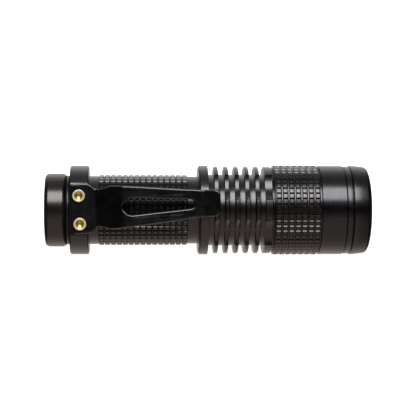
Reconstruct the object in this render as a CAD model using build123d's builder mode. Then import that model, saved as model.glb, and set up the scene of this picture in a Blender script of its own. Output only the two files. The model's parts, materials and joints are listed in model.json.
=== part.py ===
from build123d import *

import os
from math import acos, cos, degrees, radians, sin, sqrt

os.makedirs("parts", exist_ok=True)

# A pocket torch with a sliding zoom head, a screwed tail cap with a push button and a screwed-on
# pocket clip. All sizes are in mm. The torch's axis is X: the tail face is at X = 0 and the beam
# leaves towards +X. The clip is on top, towards +Z.

# Fits
running_gap = 0.08      # sliding fit of the head on the neck
seal_gap = 0.06         # rubber ring against the wall it wipes
seat_gap = 0.05         # parts that sit against each other once assembled
drop_in_gap = 0.1       # parts that drop into a bore, and tools that reach past a face
loose_gap = 0.25        # parts that pass each other without touching

# Tail cap
cap_length = 6.2
cap_r = 10.64
cap_round = 1.2
cap_chamfer = (1.0, 0.6)
cap_end_wall = 1.6
cap_cavity_r = 7.6
button_hole_r = 5.6
button_hole_chamfer = 0.6
stub_end = 13.4
stub_r = 8.8
thread_root_r = 8.4
thread_pitch = 1.0
thread_start = 8.3
thread_relief = 0.3
thread_turns = 5
seal_back = 6.25
seal_front = 7.1
seal_r = 10.06
seal_edge = 0.15

# Button, switch and spring in the tail cap
boot_top = 0.45
boot_r = 5.3
boot_wall = 0.75
boot_edge = 0.7
boot_nub_r = 1.6
boot_flange_front = 2.7
boot_flange_r = 7.5
plunger_back = 2.75
plunger_rod_r = 1.9
plunger_flange_r = 3.0
plunger_flange_back = 4.5
plunger_flange_front = 5.3
plunger_pin_r = 1.3
plunger_front = 6.4
housing_back = 3.6
housing_wall_front = 4.4
housing_r = 4.3
housing_bore_r = 3.3
switch_base_back = 9.1
board_back = 9.9
board_front = 11.1
terminal_y = 2.8
terminal_size = (0.4, 1.5)
terminal_back = 8.6
terminal_front = 11.7
cap_ring_front = 12.6
cap_ring_inner_r = 6.0
cap_ring_slot = (1.4, 0.6)
switch_wire_r = 0.18
switch_coil_r = 2.1
switch_coil_pitch = 0.68
battery_wire_r = 0.35
battery_coil_r = 5.1
battery_coil_pitch = 1.08
battery_coil_cone = -27
coil_end_gap = 0.02

# Battery tube
tube_back = 7.25
collar_front = 12.65
collar_r = 12.9
collar_edge = 0.3
tube_r = 9.93
socket_r = 9.0
socket_depth = 13.9
cell_bore_r = 7.6
grip_back = 15.4
grip_front = 41.2
grip_crest_r = 10.2
grip_root_r = 9.84
grip_ribs = 15
waist_r = 9.8
first_fin_back = 44.3
first_fin_front = 47.0
first_fin_r = 13.0
first_fin_chamfer = (0.4, 0.5)
fin_r = 12.66
fin_first_x = 49.4
fin_pitch = 2.95
fin_count = 5
fin_tip = 1.0
fin_foot = 1.35
fin_floor_r = 10.36
last_ring_back = 63.4
last_ring_front = 65.45
last_ring_chamfer = 0.2
scallop_cutter_r = 7.5
scallop_floor_r = 10.45
scallop_angles = (33.4, -33.4, 146.6, -146.6)
neck_r = 10.4
neck_front = 81.4
neck_edge = 0.3
pill_seat = 68.0
pill_bore_r = 8.6
clip_flat_z = 10.55

# Head
head_back = 66.0
head_chamfer_r = 0.5
lip_front = 68.4
sleeve_front = 79.35
sleeve_front_edge = 0.35
knurl_r = 13.08
knurl_root_r = 12.8
knurl_back = 66.1
knurl_front = 79.15
knurl_ribs = 7
knurl_share = 0.65
head_bore_r = 11.42
thread_seat_back = 74.5
thread_seat_r = 12.1
bezel_back = 79.55
bezel_r = 13.0
torch_length = 94.0
bezel_lip_back = 89.4
bezel_mouth_r = 10.3
crown_inner_r = 10.9
crown_chamfer = 0.6

# The bezel's outside from its back edge to its front rim, as (x, radius)
bezel_outside = [
    (bezel_back, bezel_r - 0.12),
    (bezel_back + 0.12, bezel_r),
    (86.55, bezel_r),
    (86.75, bezel_r - 0.42),
    (86.95, bezel_r - 0.2),
    (88.45, bezel_r - 0.2),
    (88.65, bezel_r - 0.45),
    (88.85, bezel_r + 0.03),
    (89.3, bezel_r + 0.03),
    (92.7, bezel_r - 0.28),
    (93.35, bezel_r - 0.62),
    (93.8, bezel_r - 1.2),
    (torch_length, bezel_r - 1.8),
]

# Zoom stop and seal on the neck
stop_x = 77.6
stop_width = 0.7
stop_split = (3.0, 4.0)
stop_groove_r = 9.9
zoom_seal_x = 79.75
zoom_seal_r = 0.75
zoom_groove_r = 9.8
zoom_groove_half = 0.95

# Lens
lens_back = 86.2
lens_flange_front = 88.2
lens_flange_r = 11.2
lens_dome_r = 10.1
lens_apex = 93.2
lens_ellipse = 20.0
lens_ring_inner_r = 10.0
lens_ring_length = 2.0
lens_ring_slot = (1.6, 0.8)

# Light engine in the tube's nose
driver_back = pill_seat + 0.1
driver_front = driver_back + 1.2
driver_r = 8.0
contact_tip_r = 1.6
contact_r = 2.2
contact_tip = 0.6
inductor_place = (0, 2.6)
inductor_size = (5.0, 5.0)
inductor_height = 3.0
inductor_corner = 0.8
chip_place = (-1.6, -3.4)
chip_size = (3.0, 3.0)
chip_height = 1.1
capacitor_places = [(2.6, -2.6), (2.6, -5.4)]
capacitor_size = (1.25, 2.0)
capacitor_height = 0.9
pill_wall_r = 7.6
plate_back = 77.6
plate_front = 79.4
star_front = 81.0
lead_y = 6.0
lead_pad_y = 4.0
lead_r = 0.45
lead_bend_r = 0.8
lead_hole_r = 0.8
emitter_width = 3.45
emitter_front = star_front + 0.6
die_width = 1.4
die_depth = 0.15
dome_r = 1.45
centring_hole_r = 2.7
centring_rim_r = 7.9
centring_depth = 1.1
centring_edge = 0.7
centring_notch = (5.4, 1.2)

# Clip
clip_origin = (10.3, 0.3)
clip_skew = 2.5
clip_thickness = 0.9
clip_bend = 4.6
clip_length = 40.0
clip_screw_spacing = 8.05
clip_screw_centre = (-0.18, -0.3)
clip_screw_r = 0.95
clip_screw_head_r = 1.78
clip_screw_head = 0.9
clip_screw_edge = 0.3
clip_screw_socket = (0.75, 0.55)
clip_screw_depth = 1.8
clip_top_z = clip_flat_z + 3.4
clip_rest_z = first_fin_r + 0.15
clip_flare = 1.4
clip_bend_r = 2.5
clip_tip_corner = 1.6
clip_reach = 12.0          # past the clip's widest half and its highest point
slot_big_end = (14.8, 2.43)
slot_small_end = (31.3, 1.3)

# Half of the clip's outline in plan, as (distance from the screws, half width)
clip_half_plan = [
    (-2.8, 0),
    (-2.8, 6.3),
    (-1.9, 7.2),
    (2.5, 7.2),
    (4.6, 5.55),
    (6.0, 5.3),
    (7.6, 5.7),
    (9.0, 6.15),
    (13.5, 5.9),
    (31.0, 4.2),
    (35.5, 3.85),
    (clip_length, 3.8),
    (clip_length, 0),
]

# The clip's underside from the side, as (distance from the screws, height)
clip_under = [
    (-2.8, clip_flat_z),
    (clip_bend, clip_flat_z),
    (12.6, clip_top_z),
    (35.1, clip_rest_z),
    (clip_length, clip_rest_z + clip_flare),
]

# Cell, of the AA size
cell_tip = 66.2
cell_length = 50.5
cell_r = 7.25
cell_wrap = 0.15
cell_nub = 1.3
cell_nub_r = 2.75
cell_nub_edge = 0.3
cell_edge = 0.6
can_wall = 0.25
core_gap = 0.3
washer_thickness = 0.3
wrap_inset = 0.1
cell_back = cell_tip - cell_length
can_front = cell_tip - cell_nub
can_r = cell_r - cell_wrap


def save(piece, name):
    """Label a finished piece and write it as one STEP file."""
    piece.part.label = name
    export_step(piece.part, f"parts/{name}.step")


def turned(*outline, mode=Mode.ADD):
    """Turn a closed outline of (x, radius) points about the torch's axis, into the open part."""
    with BuildSketch(Plane.XZ) as section:
        with BuildLine():
            Polyline(*outline, close=True)
        make_face()
    revolve(section.sketch, axis=Axis.X, mode=mode)


def ring(back, front, inner_r, outer_r, mode=Mode.ADD):
    """A plain ring, or a disc where inner_r is 0."""
    turned((back, inner_r), (front, inner_r), (front, outer_r), (back, outer_r), mode=mode)


def rubber_ring(x, centre_r, section_r):
    """A round-section ring about the torch's axis."""
    with BuildSketch(Plane.XZ) as section:
        with Locations((x, centre_r)):
            Circle(section_r)
    revolve(section.sketch, axis=Axis.X)


def ribs(back, front, count, root_r, crest_r, share=0.78):
    """The (x, radius) points of a row of square ribs, where share is the crest's part of the pitch."""
    pitch = (front - back) / count
    points = []
    for index in range(count):
        start = back + pitch * (index + (1 - share) / 2)
        end = start + pitch * share
        points += [(start, root_r), (start, crest_r), (end, crest_r), (end, root_r)]
    return points


def spanner_slot(face_x, depth, width):
    """A slot right across a ring's face, for the spanner that turns it."""
    with BuildSketch(Plane.YZ.offset(face_x)) as slot:
        Rectangle(3 * cap_r, width)
    extrude(slot.sketch, amount=depth, mode=Mode.SUBTRACT)


# ---- Tail cap and what it holds ----------------------------------------------------------------


def thread_ridges():
    """The (x, radius) points of the cap's male thread, as plain ridges from its end inwards."""
    points = []
    for index in reversed(range(thread_turns)):
        start = thread_start + index * thread_pitch
        crest = start + thread_pitch / 2
        points += [(start + thread_pitch, thread_root_r), (crest, stub_r)]
    return points + [(thread_start, thread_root_r)]


with BuildPart() as tail_cap:
    turned(
        (0, button_hole_r + button_hole_chamfer),
        (0, cap_r),
        (cap_length - cap_chamfer[0], cap_r),
        (cap_length, cap_r - cap_chamfer[1]),
        (cap_length, stub_r),
        (thread_start - thread_relief, stub_r),
        *reversed(thread_ridges()),
        (stub_end, thread_root_r),
        (stub_end, cap_cavity_r),
        (cap_end_wall, cap_cavity_r),
        (cap_end_wall, button_hole_r),
        (button_hole_chamfer, button_hole_r),
    )
    tail_rim = tail_cap.faces().sort_by(Axis.X)[0].outer_wire().edges()
    fillet(tail_rim, radius=cap_round)
save(tail_cap, "tail_cap")

with BuildPart() as tail_seal:
    turned(
        (seal_back, stub_r + seal_gap),
        (seal_back, seal_r - seal_edge),
        (seal_back + seal_edge, seal_r),
        (seal_front - seal_edge, seal_r),
        (seal_front, seal_r - seal_edge),
        (seal_front, stub_r + seal_gap),
    )
save(tail_seal, "tail_seal")

with BuildPart() as button_boot:
    turned(
        (boot_top, 0),
        (boot_top, boot_r - boot_edge),
        (boot_top + boot_edge, boot_r),
        (cap_end_wall + seat_gap, boot_r),
        (cap_end_wall + seat_gap, boot_flange_r),
        (boot_flange_front, boot_flange_r),
        (boot_flange_front, boot_r - boot_wall),
        (boot_top + boot_wall, boot_r - boot_wall),
        (boot_top + boot_wall, boot_nub_r),
        (boot_flange_front, boot_nub_r),
        (boot_flange_front, 0),
    )
save(button_boot, "button_boot")

with BuildPart() as switch_housing:
    turned(
        (housing_back, plunger_rod_r + running_gap),
        (housing_back, housing_r),
        (switch_base_back, housing_r),
        (switch_base_back, housing_bore_r),
        (housing_wall_front, housing_bore_r),
        (housing_wall_front, plunger_rod_r + running_gap),
    )
save(switch_housing, "switch_housing")


def terminal_slots(back, front, mode=Mode.SUBTRACT):
    """The two switch terminals between two planes, as slots to cut or as blades to add."""
    with BuildSketch(Plane.YZ.offset(back)) as blades:
        with Locations((terminal_y, 0), (-terminal_y, 0)):
            Rectangle(*terminal_size)
    extrude(blades.sketch, amount=front - back, mode=mode)


with BuildPart() as switch_base:
    ring(switch_base_back, board_back, 0, housing_r)
    terminal_slots(switch_base_back, board_back)
save(switch_base, "switch_base")

with BuildPart() as switch_terminals:
    terminal_slots(terminal_back, terminal_front, mode=Mode.ADD)
save(switch_terminals, "switch_terminals")

with BuildPart() as switch_plunger:
    turned(
        (plunger_back, 0),
        (plunger_back, plunger_rod_r),
        (plunger_flange_back, plunger_rod_r),
        (plunger_flange_back, plunger_flange_r),
        (plunger_flange_front, plunger_flange_r),
        (plunger_flange_front, plunger_pin_r),
        (plunger_front, plunger_pin_r),
        (plunger_front, 0),
    )
save(switch_plunger, "switch_plunger")


def coil(back, front, pitch, coil_r, wire_r, cone=0):
    """A wire wound about the torch's axis, which fills the length between two planes."""
    touch = wire_r + coil_end_gap
    with BuildLine() as path:
        Helix(
            pitch,
            front - back - 2 * touch,
            coil_r,
            center=(back + touch, 0, 0),
            direction=(1, 0, 0),
            cone_angle=cone,
        )
    with BuildSketch(Plane(origin=path.line @ 0, z_dir=path.line % 0)) as wire:
        Circle(wire_r)
    sweep(wire.sketch, path=path.line, is_frenet=True)


with BuildPart() as switch_spring:
    coil(
        plunger_flange_front,
        switch_base_back,
        switch_coil_pitch,
        switch_coil_r,
        switch_wire_r,
    )
save(switch_spring, "switch_spring")

with BuildPart() as switch_carrier:
    ring(boot_flange_front + seat_gap, board_back, housing_r + seat_gap, cap_cavity_r - drop_in_gap)
save(switch_carrier, "switch_carrier")

with BuildPart() as switch_board:
    ring(board_back, board_front, 0, cap_cavity_r - drop_in_gap)
    terminal_slots(board_back, board_front)
save(switch_board, "switch_board")

with BuildPart() as switch_retaining_ring:
    ring(board_front, cap_ring_front, cap_ring_inner_r, cap_cavity_r - seat_gap)
    spanner_slot(cap_ring_front, -cap_ring_slot[1], cap_ring_slot[0])
save(switch_retaining_ring, "switch_retaining_ring")

with BuildPart() as battery_spring:
    coil(
        board_front,
        cell_back,
        battery_coil_pitch,
        battery_coil_r,
        battery_wire_r,
        cone=battery_coil_cone,
    )
save(battery_spring, "battery_spring")

# ---- Battery tube ------------------------------------------------------------------------------


def fins():
    """The (x, radius) points of the cooling fins between the first fin and the last ring."""
    points = []
    for index in range(fin_count):
        x = fin_first_x + index * fin_pitch
        points += [
            (x - fin_foot / 2, fin_floor_r),
            (x - fin_tip / 2, fin_r),
            (x + fin_tip / 2, fin_r),
            (x + fin_foot / 2, fin_floor_r),
        ]
    return points


def cut_scallops():
    """Hollow flutes milled along the fins, between their lands."""
    cutter_centre_r = scallop_floor_r + scallop_cutter_r
    length = last_ring_front + drop_in_gap - first_fin_front
    for angle in map(radians, scallop_angles):
        with BuildSketch(Plane.YZ.offset(first_fin_front)) as flute:
            with Locations((cutter_centre_r * sin(angle), cutter_centre_r * cos(angle))):
                Circle(scallop_cutter_r)
        extrude(flute.sketch, amount=length, mode=Mode.SUBTRACT)


clip_direction = (cos(radians(clip_skew)), sin(radians(clip_skew)), 0)
clip_across = (sin(radians(clip_skew)), -cos(radians(clip_skew)), 0)
clip_plan = Plane(origin=(*clip_origin, 0), x_dir=clip_direction, z_dir=(0, 0, 1))
clip_side = Plane(origin=(*clip_origin, 0), x_dir=clip_direction, z_dir=clip_across)
screw_places = [
    (clip_screw_centre[0], clip_screw_centre[1] + side * clip_screw_spacing / 2) for side in (1, -1)
]

with BuildPart() as battery_tube:
    turned(
        (tube_back, socket_r),
        (tube_back, collar_r - collar_edge),
        (tube_back + collar_edge, collar_r),
        (collar_front - collar_edge, collar_r),
        (collar_front, collar_r - collar_edge),
        (collar_front, tube_r),
        (grip_back, tube_r),
        (grip_back, grip_root_r),
        *ribs(grip_back, grip_front, grip_ribs, grip_root_r, grip_crest_r),
        (grip_front, grip_root_r),
        (grip_front, waist_r),
        (first_fin_back, waist_r),
        (first_fin_back, first_fin_r - first_fin_chamfer[1]),
        (first_fin_back + first_fin_chamfer[0], first_fin_r),
        (first_fin_front, first_fin_r),
        (first_fin_front, fin_floor_r),
        *fins(),
        (last_ring_back, fin_floor_r),
        (last_ring_back, fin_r),
        (last_ring_front - last_ring_chamfer, fin_r),
        (last_ring_front, fin_r - last_ring_chamfer),
        (last_ring_front, neck_r),
        (stop_x - drop_in_gap, neck_r),
        (stop_x - drop_in_gap, stop_groove_r),
        (stop_x + stop_width + drop_in_gap, stop_groove_r),
        (stop_x + stop_width + drop_in_gap, neck_r),
        (zoom_seal_x - zoom_groove_half, neck_r),
        (zoom_seal_x - zoom_groove_half, zoom_groove_r),
        (zoom_seal_x + zoom_groove_half, zoom_groove_r),
        (zoom_seal_x + zoom_groove_half, neck_r),
        (neck_front - neck_edge, neck_r),
        (neck_front, neck_r - neck_edge),
        (neck_front, pill_bore_r),
        (pill_seat, pill_bore_r),
        (pill_seat, cell_bore_r),
        (socket_depth, cell_bore_r),
        (socket_depth, socket_r),
    )
    cut_scallops()
    with BuildSketch(Plane.XY.offset(clip_flat_z)):
        with Locations(((tube_back + collar_front) / 2, 0)):
            Rectangle(collar_front - tube_back + 2 * drop_in_gap, 2 * collar_r)
    extrude(amount=collar_r, mode=Mode.SUBTRACT)
    with BuildSketch(clip_plan.offset(clip_flat_z)):
        with Locations(*screw_places):
            Circle(clip_screw_r + seat_gap)
    extrude(amount=-clip_screw_depth - drop_in_gap, mode=Mode.SUBTRACT)
save(battery_tube, "battery_tube")

# ---- Cell --------------------------------------------------------------------------------------

with BuildPart() as cell_can:
    turned(
        (cell_back, 0),
        (cell_back, can_r - cell_edge),
        (cell_back + cell_edge, can_r),
        (can_front - cell_edge, can_r),
        (can_front, can_r - cell_edge),
        (can_front, 0),
    )
    ring(cell_back + can_wall, can_front - can_wall, 0, can_r - can_wall - core_gap, Mode.SUBTRACT)
save(cell_can, "cell_can")

with BuildPart() as cell_core:
    ring(cell_back + can_wall, can_front - can_wall, 0, can_r - can_wall - core_gap)
save(cell_core, "cell_core")

with BuildPart() as cell_sleeve:
    ring(cell_back + cell_edge + wrap_inset, can_front - cell_edge - wrap_inset, can_r, cell_r)
save(cell_sleeve, "cell_sleeve")

with BuildPart() as cell_washer:
    ring(can_front, can_front + washer_thickness, cell_nub_r + drop_in_gap, can_r - cell_edge - 0.2)
save(cell_washer, "cell_washer")

with BuildPart() as cell_cap:
    turned(
        (can_front, 0),
        (can_front, cell_nub_r),
        (cell_tip - cell_nub_edge, cell_nub_r),
        (cell_tip, cell_nub_r - cell_nub_edge),
        (cell_tip, 0),
    )
save(cell_cap, "cell_cap")

# ---- Light engine in the tube's nose -------------------------------------------------------------


def lead_holes(back, front):
    """The two holes that the leads pass through."""
    with BuildSketch(Plane.YZ.offset(back)) as holes:
        with Locations((lead_y, 0), (-lead_y, 0)):
            Circle(lead_hole_r)
    extrude(holes.sketch, amount=front - back, mode=Mode.SUBTRACT)


with BuildPart() as led_pill:
    turned(
        (driver_back, driver_r + seat_gap),
        (driver_back, pill_bore_r - drop_in_gap),
        (plate_front, pill_bore_r - drop_in_gap),
        (plate_front, 0),
        (plate_back, 0),
        (plate_back, pill_wall_r),
        (driver_front, pill_wall_r),
        (driver_front, driver_r + seat_gap),
    )
    lead_holes(plate_back, plate_front)
save(led_pill, "led_pill")

with BuildPart() as driver_board:
    ring(driver_back, driver_front, 0, driver_r)
save(driver_board, "driver_board")

with BuildPart() as driver_contact:
    turned(
        (cell_tip, 0),
        (cell_tip, contact_tip_r),
        (cell_tip + contact_tip, contact_r),
        (driver_back, contact_r),
        (driver_back, 0),
    )
save(driver_contact, "driver_contact")


def on_board(centre, size, height):
    """A block that stands on the driver board's front face."""
    with BuildSketch(Plane.YZ.offset(driver_front)) as foot:
        with Locations(centre):
            Rectangle(*size)
    extrude(foot.sketch, amount=height)


with BuildPart() as driver_inductor:
    on_board(inductor_place, inductor_size, inductor_height)
    fillet(driver_inductor.edges().filter_by(Axis.X), radius=inductor_corner)
save(driver_inductor, "driver_inductor")

with BuildPart() as driver_chip:
    on_board(chip_place, chip_size, chip_height)
save(driver_chip, "driver_chip")

with BuildPart() as driver_capacitors:
    for place in capacitor_places:
        on_board(place, capacitor_size, capacitor_height)
save(driver_capacitors, "driver_capacitors")

with BuildPart() as led_star:
    ring(plate_front, star_front, 0, driver_r)
    lead_holes(plate_front, star_front)
save(led_star, "led_star")

with BuildPart() as led_emitter:
    with BuildSketch(Plane.YZ.offset(star_front)):
        Rectangle(emitter_width, emitter_width)
    extrude(amount=emitter_front - star_front)
save(led_emitter, "led_emitter")


def die(mode=Mode.ADD):
    """The phosphor-coated die in the middle of the emitter."""
    with BuildSketch(Plane.YZ.offset(emitter_front)) as square:
        Rectangle(die_width, die_width)
    extrude(square.sketch, amount=die_depth, mode=mode)


with BuildPart() as led_phosphor:
    die()
save(led_phosphor, "led_phosphor")

with BuildPart() as led_dome:
    with BuildSketch(Plane.XZ):
        with BuildLine():
            CenterArc((emitter_front, 0), dome_r, 0, 90)
            Polyline((emitter_front, dome_r), (emitter_front, 0), (emitter_front + dome_r, 0))
        make_face()
    revolve(axis=Axis.X)
    die(mode=Mode.SUBTRACT)
save(led_dome, "led_dome")

with BuildPart() as led_centring_ring:
    turned(
        (star_front, centring_hole_r),
        (star_front, centring_rim_r),
        (star_front + centring_edge, centring_rim_r),
        (star_front + centring_depth, centring_rim_r - centring_edge),
        (star_front + centring_depth, centring_hole_r + centring_edge),
    )
    with BuildSketch(Plane.YZ.offset(star_front)):
        with Locations((lead_y, 0), (-lead_y, 0)):
            Rectangle(*centring_notch)
    extrude(amount=centring_depth, mode=Mode.SUBTRACT)
save(led_centring_ring, "led_centring_ring")


def lead(side):
    """An insulated lead from the driver board to the star's pad, on the side +1 or -1."""
    bend_x = star_front + lead_r + seat_gap
    with BuildLine() as path:
        FilletPolyline(
            (driver_front, side * lead_y, 0),
            (bend_x, side * lead_y, 0),
            (bend_x, side * lead_pad_y, 0),
            radius=lead_bend_r,
        )
    with BuildSketch(Plane(origin=path.line @ 0, z_dir=path.line % 0)) as wire:
        Circle(lead_r)
    sweep(wire.sketch, path=path.line)


with BuildPart() as lead_positive:
    lead(1)
save(lead_positive, "lead_positive")

with BuildPart() as lead_negative:
    lead(-1)
save(lead_negative, "lead_negative")

# ---- Zoom head ---------------------------------------------------------------------------------

with BuildPart() as zoom_stop_ring:
    ring(stop_x, stop_x + stop_width, stop_groove_r + seat_gap, head_bore_r - loose_gap)
    with BuildSketch(Plane.YZ.offset(stop_x)):
        with Locations((0, -neck_r)):
            Rectangle(*stop_split)
    extrude(amount=stop_width, mode=Mode.SUBTRACT)
save(zoom_stop_ring, "zoom_stop_ring")

with BuildPart() as zoom_seal:
    rubber_ring(zoom_seal_x, head_bore_r - seal_gap - zoom_seal_r, zoom_seal_r)
save(zoom_seal, "zoom_seal")

with BuildPart() as head_sleeve:
    turned(
        (head_back, neck_r + running_gap),
        (head_back, knurl_r - head_chamfer_r),
        (knurl_back, knurl_root_r),
        *ribs(knurl_back, knurl_front, knurl_ribs, knurl_root_r, knurl_r, knurl_share),
        (knurl_front, knurl_root_r),
        (sleeve_front, knurl_root_r - sleeve_front_edge),
        (sleeve_front, thread_seat_r),
        (thread_seat_back, thread_seat_r),
        (thread_seat_back, head_bore_r),
        (lip_front, head_bore_r),
        (lip_front, neck_r + running_gap),
    )
save(head_sleeve, "head_sleeve")

with BuildPart() as bezel:
    turned(
        (thread_seat_back + drop_in_gap, head_bore_r),
        (thread_seat_back + drop_in_gap, thread_seat_r - seat_gap),
        (bezel_back, thread_seat_r - seat_gap),
        *bezel_outside,
        (torch_length, crown_inner_r),
        (torch_length - crown_chamfer, bezel_mouth_r),
        (bezel_lip_back, bezel_mouth_r),
        (bezel_lip_back, head_bore_r),
    )
save(bezel, "bezel")


# The lens's front is part of an ellipse whose half length is lens_ellipse.
dome_cosine = 1 - (lens_apex - lens_flange_front) / lens_ellipse
dome_half_width = lens_dome_r / sqrt(1 - dome_cosine**2)

with BuildPart() as lens:
    with BuildSketch(Plane.XZ):
        with BuildLine():
            EllipticalCenterArc(
                (lens_apex - lens_ellipse, 0),
                x_radius=lens_ellipse,
                y_radius=dome_half_width,
                arc_size=degrees(acos(dome_cosine)),
            )
            Polyline(
                (lens_apex, 0),
                (lens_back, 0),
                (lens_back, lens_flange_r),
                (lens_flange_front, lens_flange_r),
                (lens_flange_front, lens_dome_r),
            )
        make_face()
    revolve(axis=Axis.X)
save(lens, "lens")

with BuildPart() as lens_gasket:
    ring(lens_flange_front, bezel_lip_back - seat_gap, bezel_mouth_r, lens_flange_r)
save(lens_gasket, "lens_gasket")

with BuildPart() as lens_retaining_ring:
    ring(lens_back - lens_ring_length, lens_back, lens_ring_inner_r, head_bore_r - seat_gap)
    spanner_slot(lens_back - lens_ring_length, lens_ring_slot[1], lens_ring_slot[0])
save(lens_retaining_ring, "lens_retaining_ring")

# ---- Pocket clip -------------------------------------------------------------------------------


def clip_strip():
    """The clip's bent strip over its full width, cut to its outline in plan."""
    with BuildSketch(clip_side) as edge:
        with BuildLine() as under:
            FilletPolyline(*clip_under, radius=clip_bend_r)
            offset(under.line, amount=clip_thickness, side=Side.LEFT)
        make_face()
    extrude(edge.sketch, amount=clip_reach, both=True)
    with BuildSketch(clip_plan) as plan:
        with BuildLine():
            Polyline(*clip_half_plan, close=True)
        make_face()
        mirror(about=Plane.XZ)
        corners = plan.vertices().group_by(Axis.X)[-1]
        fillet(corners, radius=clip_tip_corner)
    extrude(plan.sketch, amount=clip_top_z + clip_reach, mode=Mode.INTERSECT)


def clip_between(back, front):
    """Keep what lies between two stations along the clip."""
    with BuildSketch(clip_plan) as block:
        with Locations(((back + front) / 2, 0)):
            Rectangle(front - back, 2 * clip_reach)
    extrude(block.sketch, amount=clip_top_z + clip_reach, mode=Mode.INTERSECT)


with BuildPart() as clip_base:
    clip_strip()
    clip_between(-clip_reach, clip_bend)
    with BuildSketch(clip_plan.offset(clip_flat_z)):
        with Locations(*screw_places):
            Circle(clip_screw_r + drop_in_gap)
    extrude(amount=clip_thickness, mode=Mode.SUBTRACT)
save(clip_base, "clip_base")

with BuildPart() as clip_arm:
    clip_strip()
    clip_between(clip_bend, clip_length + clip_reach)
    with BuildSketch(clip_plan):
        with Locations((slot_big_end[0], 0)):
            Circle(slot_big_end[1])
        with Locations((slot_small_end[0], 0)):
            Circle(slot_small_end[1])
        make_hull()
    extrude(amount=clip_top_z + clip_reach, mode=Mode.SUBTRACT)
save(clip_arm, "clip_arm")

with BuildPart() as clip_screws:
    head_plane = clip_plan.offset(clip_flat_z + clip_thickness)
    with BuildSketch(head_plane):
        with Locations(*screw_places):
            Circle(clip_screw_head_r)
    extrude(amount=clip_screw_head)
    fillet(clip_screws.faces().group_by(Axis.Z)[-1].edges(), radius=clip_screw_edge)
    with BuildSketch(head_plane):
        with Locations(*screw_places):
            Circle(clip_screw_r)
    extrude(amount=-clip_thickness - clip_screw_depth)
    with BuildSketch(head_plane.offset(clip_screw_head - clip_screw_socket[1])):
        with Locations(*screw_places):
            RegularPolygon(radius=clip_screw_socket[0], side_count=6)
    extrude(amount=clip_screw_head, mode=Mode.SUBTRACT)
save(clip_screws, "clip_screws")
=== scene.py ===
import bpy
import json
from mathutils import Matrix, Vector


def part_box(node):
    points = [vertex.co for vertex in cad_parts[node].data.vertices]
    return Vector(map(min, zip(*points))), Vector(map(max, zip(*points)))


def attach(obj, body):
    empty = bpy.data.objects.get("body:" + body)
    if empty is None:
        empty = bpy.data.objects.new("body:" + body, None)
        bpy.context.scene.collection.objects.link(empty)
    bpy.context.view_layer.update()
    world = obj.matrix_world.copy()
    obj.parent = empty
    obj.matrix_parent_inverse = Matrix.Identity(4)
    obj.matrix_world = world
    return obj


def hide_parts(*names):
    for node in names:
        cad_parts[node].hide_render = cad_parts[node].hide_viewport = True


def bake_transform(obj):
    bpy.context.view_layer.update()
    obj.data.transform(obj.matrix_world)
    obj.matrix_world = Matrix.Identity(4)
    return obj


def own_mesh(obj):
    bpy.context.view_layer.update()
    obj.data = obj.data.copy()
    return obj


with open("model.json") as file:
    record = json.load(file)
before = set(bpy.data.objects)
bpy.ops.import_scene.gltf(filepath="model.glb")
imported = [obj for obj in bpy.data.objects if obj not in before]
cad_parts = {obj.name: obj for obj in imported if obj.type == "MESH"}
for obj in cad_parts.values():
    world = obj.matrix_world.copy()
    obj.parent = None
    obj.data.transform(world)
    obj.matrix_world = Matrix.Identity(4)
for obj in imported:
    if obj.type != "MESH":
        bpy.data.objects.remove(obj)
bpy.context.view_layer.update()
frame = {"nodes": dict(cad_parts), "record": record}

import json
from math import acos, asin, atan2, cos, pi, radians, sin, sqrt, tau

import bmesh
import bpy
import numpy as np
from mathutils import Matrix, Vector

# The looks of a pocket torch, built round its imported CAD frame. The torch's axis is X, its tail face
# is at X = 0, and its clip is on top, towards +Z. Sizes in this file are in mm unless a name says
# otherwise, and become metres where a mesh is made.

mm = 0.001
collar_flat_z = 10.55
clip_thickness = 0.9


def low(node, axis=0):
    """The lowest coordinate of a CAD node along an axis, in mm."""
    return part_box(node)[0][axis] / mm


def high(node, axis=0):
    """The highest coordinate of a CAD node along an axis, in mm."""
    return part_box(node)[1][axis] / mm


# ---- Mesh tools --------------------------------------------------------------------------------


def new_piece(name, vertices, faces, smooth_angle=38):
    """A mesh object from vertices in mm, smooth where its faces meet at less than smooth_angle."""
    mesh = bpy.data.meshes.new(name)
    mesh.from_pydata((np.asarray(vertices, float) * mm).tolist(), [], faces)
    mesh.validate()
    return finish_piece(name, mesh, smooth_angle)


def finish_piece(name, mesh, smooth_angle=38):
    """An object for a finished mesh, with outward faces and weighted normals."""
    cleaned = bmesh.new()
    cleaned.from_mesh(mesh)
    bmesh.ops.remove_doubles(cleaned, verts=cleaned.verts, dist=1e-7)
    bmesh.ops.recalc_face_normals(cleaned, faces=cleaned.faces)
    cleaned.to_mesh(mesh)
    cleaned.free()
    mesh.polygons.foreach_set("use_smooth", [True] * len(mesh.polygons))
    mesh.set_sharp_from_angle(angle=radians(smooth_angle))
    piece = bpy.data.objects.new(name, mesh)
    bpy.context.scene.collection.objects.link(piece)
    weighted = piece.modifiers.new("weighted_normals", "WEIGHTED_NORMAL")
    weighted.keep_sharp = True
    return piece


def eased(points, size, steps=2, closed=False):
    """The outline with each corner replaced by a small curve that starts size before it."""
    found = []
    count = len(points)
    for index, corner in enumerate(points):
        if not closed and index in (0, count - 1):
            found.append(tuple(corner))
            continue
        corner = Vector(corner)
        before = Vector(points[index - 1]) - corner
        after = Vector(points[(index + 1) % count]) - corner
        if before.length < 1e-6 or after.length < 1e-6 or before.angle(-after) < radians(4):
            found.append(tuple(corner))
            continue
        reach = min(size, 0.42 * before.length, 0.42 * after.length)
        start = corner + before.normalized() * reach
        end = corner + after.normalized() * reach
        for step in range(steps + 1):
            t = step / steps
            curve = (1 - t) ** 2 * start + 2 * t * (1 - t) * corner + t**2 * end
            found.append(tuple(curve))
    return found


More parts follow.
